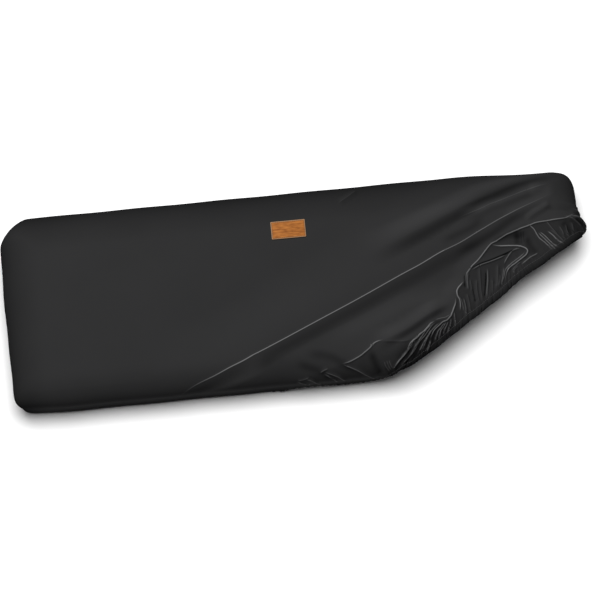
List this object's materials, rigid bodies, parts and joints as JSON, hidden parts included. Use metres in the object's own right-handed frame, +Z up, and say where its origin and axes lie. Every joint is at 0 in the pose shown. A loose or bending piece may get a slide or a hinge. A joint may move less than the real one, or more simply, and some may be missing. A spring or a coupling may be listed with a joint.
{
  "type": "synthesizer cover",
  "caption": "Stretch dust cover for a long keyboard instrument, with soft shoulders and an elastic hem, a front corner pulled back over its top in gathers, and a bare leather label.",
  "frame": {"origin": "middle of the underside of the cover's flat top, where it lies on what it covers", "axes": "+X along the length to the right, +Y to the back edge with the label, +Z up"},
  "size_m": [1.0202, 0.3478, 0.1147],
  "materials": {
    "stretch_cloth": "matt knitted stretch cloth, faint sheen along the folds",
    "label_leather": "smooth tan leather with a darker pressed edge line"
  },
  "bodies": {
    "root": {"cover": "stretch_cloth", "label": "label_leather"}
  },
  "joints": []
}
